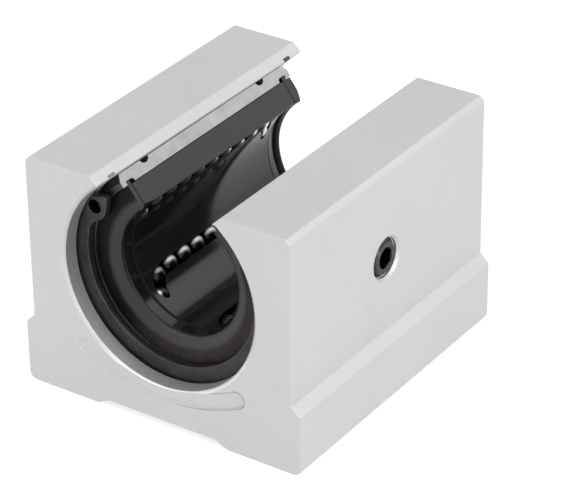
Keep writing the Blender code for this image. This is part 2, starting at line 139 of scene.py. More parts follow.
def turn_y_eased(name, profile, start, end, count, ease):
    """As turn_y, with the edges of the two cut faces eased by a small bevel."""
    steps = ((0.0, 1.0), (0.30, 0.30), (1.0, 0.0))
    shrunk = {share: inset(profile, ease * share) for _, share in steps}
    stations = []
    mean = sum(r for r, _ in profile) / len(profile)
    for along, share in steps:
        stations.append((start + along * ease / mean, share))
    for i in range(1, count):
        stations.append((start + (end - start) * i / count, 0.0))
    for along, share in reversed(steps):
        stations.append((end - along * ease / mean, share))
    shrunk[0.0] = profile
    points = []
    for angle, share in stations:
        points += [polar(r, angle, y) for r, y in shrunk[share]]
    return make(name, points, rings_to_faces(len(stations), len(profile), False))


def inset(outline, distance):
    """Moves each corner of a closed outline inwards by the same distance."""
    area = 0.0
    n = len(outline)
    for i in range(n):
        x0, y0 = outline[i]
        x1, y1 = outline[(i + 1) % n]
        area += x0 * y1 - x1 * y0
    sign = 1.0 if area > 0.0 else -1.0
    result = []
    distances = distance if isinstance(distance, list) else [distance] * n
    for i in range(n):
        p, q, r = (Vector(outline[i - 1]), Vector(outline[i]), Vector(outline[(i + 1) % n]))
        a, b = (q - p), (r - q)
        if a.length < 1e-9 or b.length < 1e-9:
            result.append(tuple(q))
            continue
        a.normalize()
        b.normalize()
        na, nb = Vector((-a.y, a.x)) * sign, Vector((-b.y, b.x)) * sign
        mid = na + nb
        if mid.length < 1e-6:
            mid = na
        mid.normalize()
        scale = 1.0 / max(mid.dot(na), 0.35)
        result.append(tuple(q + mid * (distances[i] * scale)))
    return result


def fillet(corners, steps=4):
    """Rounds the corners of an outline; each corner is (x, z, radius)."""
    n = len(corners)
    result = []
    for i in range(n):
        x, z, radius = corners[i]
        q = Vector((x, z))
        if radius <= 0.0:
            result.append((x, z))
            continue
        p = Vector(corners[i - 1][:2])
        r = Vector(corners[(i + 1) % n][:2])
        a, b = (p - q).normalized(), (r - q).normalized()
        angle = a.angle(b)
        reach = min(radius / math.tan(angle / 2.0), 0.45 * (p - q).length, 0.45 * (r - q).length)
        radius = reach * math.tan(angle / 2.0)
        centre = q + (a + b).normalized() * (radius / math.sin(angle / 2.0))
        first, last = (q + a * reach) - centre, (q + b * reach) - centre
        sweep = first.angle_signed(last)
        for k in range(steps + 1):
            turn = -sweep * k / steps
            c, s = math.cos(turn), math.sin(turn)
            result.append((centre.x + first.x * c - first.y * s,
                           centre.y + first.x * s + first.y * c))
    return result


def arc(radius, start, end, count, lift=0.0):
    points = []
    for i in range(count + 1):
        angle = start + (end - start) * i / count
        points.append((radius * math.sin(angle), AXIS + lift + radius * math.cos(angle)))
    return points


def loft_y(name, layers):
    """Joins outlines of (x, z) with equal counts, each at its own y."""
    points = []
    for y, outline in layers:
        points += [(x, y, z) for x, z in outline]
    return make(name, points, rings_to_faces(len(layers), len(layers[0][1]), False))


def turned(name, profile, base, axis, across, count):
    """Turns an open profile of (radius, height) about an axis, flat at the ends."""
    base, axis, across = Vector(base), Vector(axis), Vector(across)
    third = axis.cross(across)
    points = []
    for radius, height in profile:
        for i in range(count):
            angle = FULL * i / count
            points.append(base + axis * height + across * (radius * math.cos(angle))
                          + third * (radius * math.sin(angle)))
    return make(name, points, rings_to_faces(len(profile), count, False))


def threaded(name, low, high, minor, major, pitch, base, axis, across, count=40,
             limit=None, per_turn=10):
    """A threaded rod: the radius follows a right-hand helix of 60 degree ridges."""
    base, axis, across = Vector(base), Vector(axis), Vector(across)
    third = axis.cross(across)
    rows = int(round((high - low) / pitch * per_turn)) + 1
    points = []
    for j in range(rows):
        height = low + (high - low) * j / (rows - 1)
        for i in range(count):
            turn = i / count
            phase = (height / pitch - turn) % 1.0
            ridge = 1.0 - abs(2.0 * phase - 1.0)
            ridge = min(max((ridge - 0.12) / 0.74, 0.0), 1.0)
            radius = minor + (major - minor) * ridge
            if limit is not None:
                radius = min(radius, limit(height))
            angle = FULL * turn
            points.append(base + axis * height + across * (radius * math.cos(angle))
                          + third * (radius * math.sin(angle)))
    return make(name, points, rings_to_faces(rows, count, False))


def cut(obj, *cutters, join=()):
    for cutter in cutters + tuple(join):
        modifier = obj.modifiers.new("cut", 'BOOLEAN')
        modifier.operation = 'UNION' if cutter in join else 'DIFFERENCE'
        modifier.solver = 'EXACT'
        modifier.object = cutter
    settle(obj)
    for cutter in cutters + tuple(join):
        mesh = cutter.data
        bpy.data.objects.remove(cutter, do_unlink=True)
        bpy.data.meshes.remove(mesh)
    return obj


def settle(obj):
    """Applies the modifiers to the mesh."""
    bpy.context.view_layer.update()
    depsgraph = bpy.context.evaluated_depsgraph_get()
    mesh = bpy.data.meshes.new_from_object(obj.evaluated_get(depsgraph))
    old = obj.data
    obj.modifiers.clear()
    obj.data = mesh
    bpy.data.meshes.remove(old)
    return obj


def finish_mesh(obj, angle=32.0, weighted=True):
    mesh = obj.data
    mesh.shade_smooth()
    mesh.set_sharp_from_angle(angle=math.radians(angle))
    if weighted:
        modifier = obj.modifiers.new("weighted", 'WEIGHTED_NORMAL')
        modifier.keep_sharp = True
        modifier.weight = 60
    return obj


def close_slivers(obj):
    """Joins corners less than a micrometre apart that a cut can leave open."""
    bm = bmesh.new()
    bm.from_mesh(obj.data)
    bmesh.ops.remove_doubles(bm, verts=bm.verts, dist=0.000001)
    bm.to_mesh(obj.data)
    bm.free()
    obj.data.update()


def split_wide_faces(obj):
    """Triangulates the faces with many corners that the cuts leave."""
    bm = bmesh.new()
    bm.from_mesh(obj.data)
    bmesh.ops.triangulate(bm, faces=[face for face in bm.faces if len(face.verts) > 4],
                          quad_method='BEAUTY', ngon_method='BEAUTY')
    bm.to_mesh(obj.data)
    bm.free()
    return obj


def flatten(obj, planes):
    """Makes the shading of the faces in these (axis, place) planes truly flat."""
    settle(obj)
    mesh = obj.data
    normals = [corner.vector.copy() for corner in mesh.corner_normals]
    for face in mesh.polygons:
        for axis, place in planes:
            if abs(face.normal[axis]) > 0.9999 and all(
                    abs(mesh.vertices[i].co[axis] - place) < 0.000003 for i in face.vertices):
                for i in face.loop_indices:
                    normals[i] = face.normal.copy()
    mesh.normals_split_custom_set(normals)
    return obj


# ----------------------------------------------------------------- circuits
class Circuit:
    def __init__(self, degrees):
        loaded = math.radians(degrees)
        width = 2.0 * TURN_RADIUS
        cosine = (LOADED ** 2 + RETURN ** 2 - width ** 2) / (2.0 * LOADED * RETURN)
        self.loaded_angle = loaded
        self.return_angle = loaded - math.acos(cosine)
        self.loaded = Vector(polar(LOADED, self.loaded_angle, 0.0))
        self.back = Vector(polar(RETURN, self.return_angle, 0.0))
        self.middle = (self.loaded + self.back) / 2.0
        self.across = (self.back - self.loaded).normalized()
        out = Vector((0.0, 1.0, 0.0)).cross(self.across)
        if out.dot(self.middle - Vector((0.0, 0.0, AXIS))) < 0.0:
            out = -out
        self.out = out.normalized()

    def turn_centre(self, end):
        return self.middle + Vector((0.0, end * STRAIGHT_HALF, 0.0))

    def turn_point(self, end, t):
        return (self.turn_centre(end) + self.across * (-TURN_RADIUS * math.cos(t))
                + Vector((0.0, end * TURN_RADIUS * math.sin(t), 0.0)))


def channel_cutter(circuit):
    section = []
    steps = 14
    for i in range(steps + 1):
        angle = math.pi * i / steps
        section.append((-CHANNEL * math.cos(angle), -CHANNEL * math.sin(angle)))
    section += [(CHANNEL, 0.0040), (-CHANNEL, 0.0040)]
    points, rings = [], 0
    turns = 20
    for end in (-1.0, 1.0):
        for i in range(turns + 1):
            t = math.pi * i / turns
            if end > 0.0:
                t = math.pi - t
            centre = circuit.turn_point(end, t)
            radial = (centre - circuit.turn_centre(end)).normalized()
            points += [centre + radial * side + circuit.out * height for side, height in section]
            rings += 1
    return make("channel", points, rings_to_faces(rings, len(section), True))


# ------------------------------------------------------------------- pieces
def housing_outline():
    half, body = WIDTH / 2.0, BODY / 2.0
    right = [(RELIEF_TOP, RELIEF_DEPTH, 0.0008), (RELIEF, 0.0, 0.0004),
             (half, 0.0, BASE_CORNER), (half, SHOULDER_BOTTOM, 0.0003),
             (body, SHOULDER_TOP, 0.0004), (body, HEIGHT - TOP_CHAMFER, 0.0003),
             (body - TOP_CHAMFER, HEIGHT, 0.0003), (SLOT_TOP, HEIGHT, 0.0004),
             (SLOT, LIP, 0.0003), (SLOT, AXIS + math.sqrt(BORE ** 2 - SLOT ** 2), 0.0)]
    left = [(-x, z, r) for x, z, r in reversed(right)]
    corners = right + left
    steps = 5
    rounded = fillet(corners, steps)
    # the sharp bottom of each lip is where the bore begins
    first = len(rounded) // 2 - 1
    lip = math.asin(SLOT / BORE)
    bore = arc(BORE, lip, FULL - lip, 150)[1:-1]
    outline = rounded[:first + 1] + bore + rounded[first + 1:]
    kinds = [0] * (first + 1) + [1] * len(bore) + [0] * (len(rounded) - first - 1)
    kinds[first] = 1
    kinds[first + 1 + len(bore)] = 1
    return outline, kinds


def make_housing():
    face = LENGTH / 2.0
    outline, kinds = housing_outline()
    steps = ((0.0, 0.00010, 0.00050), (0.00004, 0.00003, 0.00043), (0.00009, 0.00001, 0.00036),
             (0.00015, 0.0, 0.00029), (0.00040, 0.0, 0.00003), (0.00046, 0.0, 0.0))
    layers = []
    for depth, outer, bore in steps:
        amounts = [bore if k else outer for k in kinds]
        layers.append((-face + depth, inset(outline, amounts)))
    layers += [(y, shape) for y, shape in
               [(face - depth, layers[i][1]) for i, (depth, _, _) in reversed(list(enumerate(steps)))]]
    block = loft_y("housing_body", layers)
    cutters = []
    for end in (-1.0, 1.0):
        c = 0.00012
        cutters.append(turn_y("groove", [(0.0145, end * GROOVE_IN), (BORE - 0.0001, end * GROOVE_IN),
                                         (BORE + c, end * (GROOVE_IN + c)),
                                         (GROOVE, end * (GROOVE_IN + c)),
                                         (GROOVE, end * (GROOVE_OUT - c)),
                                         (BORE + c, end * (GROOVE_OUT - c)),
                                         (BORE - 0.0001, end * GROOVE_OUT), (0.0145, end * GROOVE_OUT)],
                              math.radians(0.7), math.radians(0.7) + FULL, 180))
        cutters.append(arc_recess_cutter(end))
    half = HOLE_SPACING / 2.0
    for sx in (-1.0, 1.0):
        for sy in (-1.0, 1.0):
            cutters.append(threaded("mount_hole", -0.0010, HOLE_DEPTH, 0.00246, 0.00300, 0.001,
                                    (sx * half, sy * half, 0.0), (0, 0, 1), (1, 0, 0), 32,
                                    limit=lambda h: 0.0025 + max(0.0, HOLE_DEPTH - 0.0012 - h)
                                    if h > 0.0005 else 0.0033, per_turn=8))
    cutters.append(turned("screw_hole", [(0.0030, -0.011), (0.0030, -0.0009), (0.00312, -0.00075),
                                         (0.00312, -0.00042), (0.00358, 0.00004),
                                         (0.0045, 0.00096)],
                          (BODY / 2.0, SCREW_Y, AXIS), (1, 0, 0), (0, 1, 0), 64))
    cut(block, *cutters)
    close_slivers(block)
    split_wide_faces(block)
    finish_mesh(block, 28.0)
    planes = [(2, 0.0), (2, RELIEF_DEPTH), (2, HEIGHT)]
    planes += [(axis, side * size) for side in (-1.0, 1.0)
               for axis, size in ((0, WIDTH / 2.0), (0, BODY / 2.0), (1, LENGTH / 2.0))]
    return flatten(block, planes)


def arc_recess_outline(shrink):
    """The band between two arcs, with round ends, made smaller by shrink."""
    lift = ARC_OUT - ARC_LOWEST
    outer_r, inner_r = ARC_OUT - shrink, ARC_IN + shrink
    swing = math.asin(ARC_HALF / ARC_OUT)
    mid, cap = (outer_r + inner_r) / 2.0, (outer_r - inner_r) / 2.0
    points = arc(outer_r, math.pi - swing, math.pi + swing, 40, lift)
    for i in range(1, 10):
        turn = math.pi * i / 10
        r, a = mid + cap * math.cos(turn), math.pi + swing + cap * math.sin(turn) / mid
        points.append((r * math.sin(a), AXIS + lift + r * math.cos(a)))
    points += arc(inner_r, math.pi + swing, math.pi - swing, 40, lift)
    for i in range(1, 10):
        turn = math.pi * i / 10
        r, a = mid - cap * math.cos(turn), math.pi - swing - cap * math.sin(turn) / mid
        points.append((r * math.sin(a), AXIS + lift + r * math.cos(a)))
    return points


def arc_recess_cutter(end):
    face = LENGTH / 2.0
    layers = [(end * (face + 0.0006), arc_recess_outline(-0.00010)),
              (end * (face + 0.00002), arc_recess_outline(-0.00008)),
              (end * (face - 0.00006), arc_recess_outline(-0.00001)),
              (end * (face - 0.00020), arc_recess_outline(0.00002)),
              (end * (face - 0.00028), arc_recess_outline(0.00008)),
              (end * (face - ARC_DEPTH * 0.8), arc_recess_outline(0.00020))]
    cutter = loft_y("recess", layers)
    # it runs out towards one side
    for vertex in cutter.data.vertices:
        vertex.co.y += end * 0.00019 * (ARC_HALF - vertex.co.x) / (2.0 * ARC_HALF)
    return cutter


def make_sleeve(circuits):
    c, e = 0.00065, 0.00006
    groove = []
    for k in range(9):
        turn = math.pi * k / 8
        groove.append((SLEEVE_OUT - RING_DEPTH * math.sin(turn),
                       RING_AT - RING_HALF * math.cos(turn)))
    half = [(SLEEVE_OUT, 0.002), (SLEEVE_OUT, RING_AT - RING_HALF - e)] + groove
    half += [(SLEEVE_OUT, RING_AT + RING_HALF + e), (SLEEVE_OUT, SLEEVE_HALF - c),
             (SLEEVE_OUT - 0.00008, SLEEVE_HALF - c + 0.00012),
             (SLEEVE_OUT - 0.00100, SLEEVE_HALF - 0.00006), (SLEEVE_OUT - 0.00110, SLEEVE_HALF),
             (SLEEVE_IN + 0.00008, SLEEVE_HALF), (SLEEVE_IN + 0.00002, SLEEVE_HALF - 0.00002),
             (SLEEVE_IN, SLEEVE_HALF - 0.00008), (SLEEVE_IN, SNAP_OUT + e),
             (SLEEVE_IN + e, SNAP_OUT), (SNAP_RADIUS - e, SNAP_OUT), (SNAP_RADIUS, SNAP_OUT - e),
             (SNAP_RADIUS, SNAP_IN + 0.0003), (SNAP_RADIUS - 0.0003, SNAP_IN),
             (SLEEVE_IN + e, SNAP_IN), (SLEEVE_IN, SNAP_IN - e), (SLEEVE_IN, 0.002)]
    profile = half + [(r, -y) for r, y in reversed(half)]
    sleeve = turn_y_eased("sleeve_shell", profile, OPENING, FULL - OPENING, 150, 0.00005)
    cutters, tracks = [], []
    for circuit in circuits:
        start = (circuit.loaded_angle + circuit.return_angle) / 2.0
        end = circuit.return_angle - math.radians(9.6)
        cutters.append(turn_y("relief", [(0.0130, -RELIEF_HALF), (RELIEF_RADIUS, -RELIEF_HALF),
                                         (RELIEF_RADIUS, RELIEF_HALF), (0.0130, RELIEF_HALF)],
                              start, end, 12))
        tracks.append(turn_y("track", [(TRACK_RADIUS, -TRACK_HALF), (TRACK_RADIUS, TRACK_HALF),
                                       (0.0146, TRACK_HALF + 0.0008),
                                       (0.0146, -TRACK_HALF - 0.0008)],
                             circuit.loaded_angle - TRACK_ANGLE,
                             circuit.loaded_angle + TRACK_ANGLE, 8))
    cut(sleeve, *cutters, join=tracks)
    return finish_mesh(sleeve, 30.0)


def make_cage(circuits):
    half = [(CAGE_OUT, 0.003), (CAGE_OUT, CAGE_HALF - 0.0001), (CAGE_OUT - 0.0001, CAGE_HALF),
            (CAGE_IN + TAPER + 0.0001, CAGE_HALF), (CAGE_IN + TAPER, CAGE_HALF - 0.0001),
            (CAGE_IN + 0.00013, TAPER_AT + 0.00032), (CAGE_IN + 0.00013, TAPER_AT + 0.00010),
            (CAGE_IN + 0.00008, TAPER_AT - 0.00002), (CAGE_IN, TAPER_AT - 0.00008),
            (CAGE_IN, 0.003)]
    profile = half + [(r, -y) for r, y in reversed(half)]
    cage = turn_y_eased("retainer_shell", profile, OPENING + 0.004, FULL - OPENING - 0.004,
                        150, 0.00014)
    cut(cage, *[channel_cutter(circuit) for circuit in circuits])
    return finish_mesh(cage, 32.0)


def make_seal(name, end):
    """A flat ring, dished towards its lip, with a rim that snaps into the sleeve."""
    f, b, e = SEAL_OUT_END, SEAL_IN_END, 0.00006
    lip = f - DISH_DEPTH
    profile = [(SEAL_RIM - e, b), (SEAL_RIM, b + e), (SEAL_RIM, SEAL_RIM_END - e),
               (SEAL_RIM - e, SEAL_RIM_END), (SEAL_OUT + e, SEAL_RIM_END),
               (SEAL_OUT, SEAL_RIM_END + e), (SEAL_OUT, f - 0.00016),
               (SEAL_OUT - 0.00005, f - 0.00005), (SEAL_OUT - 0.00016, f),
               (DISH_RADIUS + 0.00012, f), (DISH_RADIUS, f - 0.00002),
               (DISH_RADIUS - 0.00012, f - 0.00005), (SEAL_LIP + 0.00048, lip + 0.00006),
               (SEAL_LIP + 0.00038, lip + 0.00001), (SEAL_LIP + 0.00006, lip - 0.00024),
               (SEAL_LIP + 0.00001, lip - 0.00031), (SEAL_LIP, lip - 0.00040),
               (SEAL_LIP + 0.00005, lip - 0.00060), (0.01050, b + e), (0.01056, b)]
    profile = [(r, end * y) for r, y in profile]
    seal = turn_y_eased(name, profile, OPENING + 0.006, FULL - OPENING - 0.006, 144, 0.00008)
    return finish_mesh(seal, 40.0)


def clip_outline():
    outer = arc(CLIP_OUT, CLIP_END, FULL - CLIP_END, 140)

    def inner(angle):
        a = CLIP_SHIFT * math.cos(angle)
        return a + math.sqrt(a * a + CLIP_IN ** 2 - CLIP_SHIFT ** 2)

    def lug(sign):
        """From the end of the ring, round the lug, to the ring's inside edge."""
        points = [(CLIP_OUT - 0.0003, CLIP_END - 0.002)]
        points += curve(LUG_SHAPE, 5)
        points = [points[0]] + [(r, LUG_ANGLE + math.radians(turn)) for r, turn in points[1:]]
        return [(r * math.sin(sign * a), AXIS + r * math.cos(sign * a)) for r, a in points]

    start = LUG_ANGLE + math.radians(LUG_SHAPE[-1][1] + 3.5)
    ring = []
    for i in range(121):
        angle = start + (FULL - 2.0 * start) * i / 120
        r = inner(angle)
        ring.append((r * math.sin(angle), AXIS + r * math.cos(angle)))
    return outer + lug(-1.0) + list(reversed(ring)) + list(reversed(lug(1.0)))


def curve(points, steps):
    """A smooth curve through the given points."""
    result = []
    n = len(points)
    for i in range(n - 1):
        p = [Vector(points[min(max(j, 0), n - 1)]) for j in (i - 1, i, i + 1, i + 2)]
        for k in range(steps):
            t = k / steps
            q = 0.5 * ((2.0 * p[1]) + (p[2] - p[0]) * t
                       + (2.0 * p[0] - 5.0 * p[1] + 4.0 * p[2] - p[3]) * t * t
                       + (3.0 * p[1] - p[0] - 3.0 * p[2] + p[3]) * t ** 3)
            result.append((q.x, q.y))
    result.append(tuple(points[-1]))
    return result


def make_clip(name, end):
    outline = clip_outline()
    e = 0.00012
    low, high = sorted((end * CLIP_NEAR, end * CLIP_FAR))
    layers = [(low, inset(outline, e)), (low + e * 0.3, inset(outline, e * 0.3)),
              (low + e, outline), (high - e, outline),
              (high - e * 0.3, inset(outline, e * 0.3)), (high, inset(outline, e))]
    ring = loft_y(name, layers)
    angle = LUG_ANGLE
    cutters = []
    for sign in (-1.0, 1.0):
        centre = polar(LUG_HOLE_AT, sign * angle, low)
        thick = high - low
        cutters.append(turned("lug_hole", [(LUG_HOLE + 0.0003, -0.0002), (LUG_HOLE, 0.0001),
                                           (LUG_HOLE, thick - 0.0001),
                                           (LUG_HOLE + 0.0003, thick + 0.0002)],
                              centre, (0, 1, 0), (1, 0, 0), 40))
    cut(ring, *cutters)
    return finish_mesh(ring, 32.0)


def make_screw():
    low, high = 0.0163, 0.02236

    def limit(height):
        return min(0.0020 + max(0.0, height - low) * 1.0,
                   0.00235 + max(0.0, high - height) * 1.0, 0.0029)
    screw = threaded("screw_body", low, high, 0.00240, 0.00288, 0.001, (0, SCREW_Y, AXIS),
                     (1, 0, 0), (0, 1, 0), 56, limit=limit, per_turn=14)
    corner = 0.0030 / math.sqrt(3.0)
    socket = turned("socket", [(0.0003, high - 0.0034), (corner * 0.96, high - 0.0026),
                               (corner, high - 0.0025), (corner, high + 0.0006)],
                    (0, SCREW_Y, AXIS), (1, 0, 0), (0, math.cos(0.35), math.sin(0.35)), 6)
    mouth = turned("mouth", [(corner * 0.90, high - 0.00025), (corner * 1.06, high + 0.0002)],
                   (0, SCREW_Y, AXIS), (1, 0, 0), (0, 1, 0), 56)
    cut(screw, socket, mouth)
    return finish_mesh(screw, 30.0)


def make_balls(name, centres):
    """The separate round balls of one row or turn, in one object."""
    segments, rings = 28, 18
    points, faces = [], []
    for index, centre in enumerate(centres):
        spin = Matrix.Rotation(1.1 * index + 0.4, 3, Vector((0.3, 0.8, 0.52)).normalized())
        base = len(points)
        local = [Vector((0, 0, BALL))]
        for j in range(1, rings):
            lat = math.pi * j / rings
            for i in range(segments):
                lon = FULL * i / segments
                local.append(Vector((BALL * math.sin(lat) * math.cos(lon),
                                     BALL * math.sin(lat) * math.sin(lon), BALL * math.cos(lat))))
        local.append(Vector((0, 0, -BALL)))
        points += [centre + spin @ p for p in local]
        for i in range(segments):
            n = (i + 1) % segments
            faces.append((base, base + 1 + i, base + 1 + n))
            last = base + 1 + (rings - 2) * segments
            faces.append((base + len(local) - 1, last + n, last + i))
            for j in range(rings - 2):
                a, b = base + 1 + j * segments, base + 1 + (j + 1) * segments
                faces.append((a + i, b + i, b + n, a + n))
    mesh = bpy.data.meshes.new(name)
    mesh.from_pydata(points, [], faces)
    mesh.shade_smooth()
    obj = link(name, mesh)
    return obj


# ---------------------------------------------------------------- materials
class Nodes:
    """Builds one node material around a Principled BSDF."""

    def __init__(self, name):
        self.mat = bpy.data.materials.new(name)
        self.mat.use_nodes = True
        self.tree = self.mat.node_tree
        self.shader = self.tree.nodes["Principled BSDF"]
        self.place = self.tree.nodes.new("ShaderNodeTexCoord").outputs["Object"]

    def node(self, kind, **values):
        item = self.tree.nodes.new(kind)
        for key, value in values.items():
            setattr(item, key, value)
        return item

    def link(self, a, b):
        self.tree.links.new(a, b)

    def scaled(self, scale, place=None):
        mapping = self.node("ShaderNodeMapping")
        mapping.inputs["Scale"].default_value = scale
        self.link(place or self.place, mapping.inputs["Vector"])
        return mapping.outputs["Vector"]

    def noise(self, scale, detail=3.0, rough=0.5, place=None, distortion=0.0):
        item = self.node("ShaderNodeTexNoise")
        item.inputs["Scale"].default_value = scale
        item.inputs["Detail"].default_value = detail
        item.inputs["Roughness"].default_value = rough
        item.inputs["Distortion"].default_value = distortion
        self.link(place or self.place, item.inputs["Vector"])
        return item.outputs["Fac"]

    def span(self, value, low, high, from_low=0.0, from_high=1.0):
        item = self.node("ShaderNodeMapRange")
        item.inputs["From Min"].default_value = from_low
        item.inputs["From Max"].default_value = from_high
        item.inputs["To Min"].default_value = low
        item.inputs["To Max"].default_value = high
        self.link(value, item.inputs["Value"])
        return item.outputs["Result"]

    def maths(self, operation, a, b=None, clamp=False):
        item = self.node("ShaderNodeMath", operation=operation, use_clamp=clamp)
        for socket, value in ((0, a), (1, b)):
            if value is None:
                continue
            if isinstance(value, (int, float)):
                item.inputs[socket].default_value = value
            else:
                self.link(value, item.inputs[socket])
        return item.outputs[0]

    def mix(self, factor, a, b):
        item = self.node("ShaderNodeMix", data_type='RGBA')
        for socket, value in ((0, factor), (6, a), (7, b)):
            if isinstance(value, (int, float)):
                item.inputs[socket].default_value = value
            elif isinstance(value, tuple):
                item.inputs[socket].default_value = (*value, 1.0)
            else:
                self.link(value, item.inputs[socket])
        return item.outputs[2]

    def mix_value(self, factor, a, b):
        item = self.node("ShaderNodeMix", data_type='FLOAT')
        for socket, value in ((0, factor), (2, a), (3, b)):
            if isinstance(value, (int, float)):
                item.inputs[socket].default_value = value
            else:
                self.link(value, item.inputs[socket])
        return item.outputs[0]

    def bump(self, height, distance, strength=1.0, below=None):
        item = self.node("ShaderNodeBump")
        item.inputs["Strength"].default_value = strength
        item.inputs["Distance"].default_value = distance
        self.link(height, item.inputs["Height"])
        if below is not None:
            self.link(below, item.inputs["Normal"])
        return item.outputs["Normal"]

    def face_share(self, axis, sharp=0.9):
        """1 on faces that look along an axis, 0 elsewhere, from the real normal."""
        geometry = self.node("ShaderNodeNewGeometry")
        split = self.node("ShaderNodeSeparateXYZ")
        self.link(geometry.outputs["True Normal"], split.inputs[0])
        size = self.maths('ABSOLUTE', split.outputs[axis])
        return self.span(size, 0.0, 1.0, sharp - 0.05, sharp + 0.05)

    def set(self, **values):
        names = {"colour": "Base Color", "roughness": "Roughness", "metallic": "Metallic",
                 "normal": "Normal", "coat": "Coat Weight", "coat_roughness": "Coat Roughness",
                 "specular": "Specular IOR Level", "sheen": "Sheen Weight"}
        for key, value in values.items():
            socket = self.shader.inputs[names[key]]
            if isinstance(value, (int, float)):
                socket.default_value = value
            elif isinstance(value, tuple):
                socket.default_value = (*value, 1.0)
            else:
                self.link(value, socket)
        return self.mat


def aluminium():
    """Satin anodised aluminium: fine blasted grain, faint extrusion lines along
    the sides and faint milling lines on the ends."""
    n = Nodes("satin_aluminium")
    grain = n.noise(5200.0, 2.0, 0.6)
    mottle = n.noise(420.0, 4.0, 0.6)
    cloud = n.noise(70.0, 3.0, 0.5)
    along = n.noise(1.0, 3.0, 0.6, n.scaled((3800.0, 26.0, 3800.0)))
    across = n.noise(1.0, 3.0, 0.6, n.scaled((42.0, 3000.0, 4200.0)))
    ends = n.face_share(1, 0.95)
    lines = n.mix_value(ends, along, across)
    tone = n.maths('ADD', n.span(mottle, -0.018, 0.018), n.span(cloud, -0.022, 0.022))
    tone = n.maths('ADD', tone, n.span(lines, -0.016, 0.016))
    tone = n.maths('ADD', tone, n.span(grain, -0.014, 0.014))
    bright = n.maths('ADD', tone, 0.58)
    colour = n.node("ShaderNodeCombineColor")
    n.link(bright, colour.inputs[0])
    n.link(n.maths('MULTIPLY', bright, 0.998), colour.inputs[1])
    n.link(n.maths('MULTIPLY', bright, 0.997), colour.inputs[2])
    rough = n.maths('ADD', n.span(mottle, -0.04, 0.05), n.span(lines, 0.55, 0.64))
    height = n.maths('ADD', grain, n.maths('MULTIPLY', lines, 0.7))
    # a thin dark line of painted shade follows the outer edge of the shallow recess in each end, stronger to
    # the right
    centre, mid = AXIS + ARC_OUT - ARC_LOWEST, (ARC_OUT + ARC_IN) / 2.0
    cap, swing = (ARC_OUT - ARC_IN) / 2.0, math.asin(ARC_HALF / ARC_OUT)
    split = n.node("ShaderNodeSeparateXYZ")
    n.link(n.place, split.inputs[0])
    drop = n.maths('SUBTRACT', centre, split.outputs[2])
    angle = n.maths('ARCTAN2', split.outputs[0], drop)
    angle = n.maths('MAXIMUM', n.maths('MINIMUM', angle, swing), -swing)
    dx = n.maths('SUBTRACT', split.outputs[0], n.maths('MULTIPLY', n.maths('SINE', angle), mid))
    dz = n.maths('SUBTRACT', drop, n.maths('MULTIPLY', n.maths('COSINE', angle), mid))
    reach = n.maths('SQRT', n.maths('ADD', n.maths('MULTIPLY', dx, dx), n.maths('MULTIPLY', dz, dz)))
    away = n.maths('ABSOLUTE', n.maths('SUBTRACT', reach, cap + 0.00013))
    recess_edge_shade = n.maths('MULTIPLY', n.span(away, 1.0, 0.0, 0.00003, 0.00013), ends)
    recess_edge_shade = n.maths('MULTIPLY', recess_edge_shade, n.span(mottle, 0.25, 0.95, 0.35, 0.6))
    recess_edge_shade = n.maths('MULTIPLY', recess_edge_shade, n.span(split.outputs[0], 0.15, 1.0, -0.004, 0.006))
    tinted = n.mix(n.maths('MULTIPLY', recess_edge_shade, 0.72), colour.outputs[0], (0.13, 0.126, 0.122))
    # the bore wall is painted darker in patches, a painted shade inside the bore, and the chamfer at its
    # mouth is painted bright low down, a painted highlight
    side, height_ = split.outputs[0], n.maths('SUBTRACT', split.outputs[2], AXIS)
    radius = n.maths('SQRT', n.maths('ADD', n.maths('MULTIPLY', side, side),
                                     n.maths('MULTIPLY', height_, height_)))
    # painted shade: the bore wall is darkened in patches
    inside = n.span(radius, 1.0, 0.0, BORE + 0.00003, BORE + 0.00008)
    tinted = n.mix(n.maths('MULTIPLY', inside, n.span(mottle, 0.20, 0.50, 0.3, 0.7)), tinted,
                   (0.30, 0.296, 0.290))
    # painted highlight: the chamfer at the bore's mouth is painted pale along its lower side, near the ends
    rim = n.maths('MULTIPLY', n.span(radius, 0.0, 1.0, BORE + 0.00003, BORE + 0.00010),
                  n.span(radius, 1.0, 0.0, BORE + 0.00052, BORE + 0.00060))
    rim = n.maths('MULTIPLY', rim, n.maths('SUBTRACT', 1.0, ends))
    rim = n.maths('MULTIPLY', rim, n.span(n.maths('ABSOLUTE', split.outputs[1]), 0.0, 1.0,
                                          LENGTH / 2.0 - 0.0008, LENGTH / 2.0 - 0.0006))
    low = n.maths('SUBTRACT', n.maths('MULTIPLY', side, 0.35), n.maths('MULTIPLY', height_, 0.94))
    rim = n.maths('MULTIPLY', rim, n.span(low, 0.0, 1.0, 0.0080, 0.0128))
    tinted = n.mix(rim, tinted, (0.80, 0.80, 0.80))
    return n.set(colour=tinted, metallic=1.0, roughness=rough,
                 normal=n.bump(height, 0.000006, 0.55))


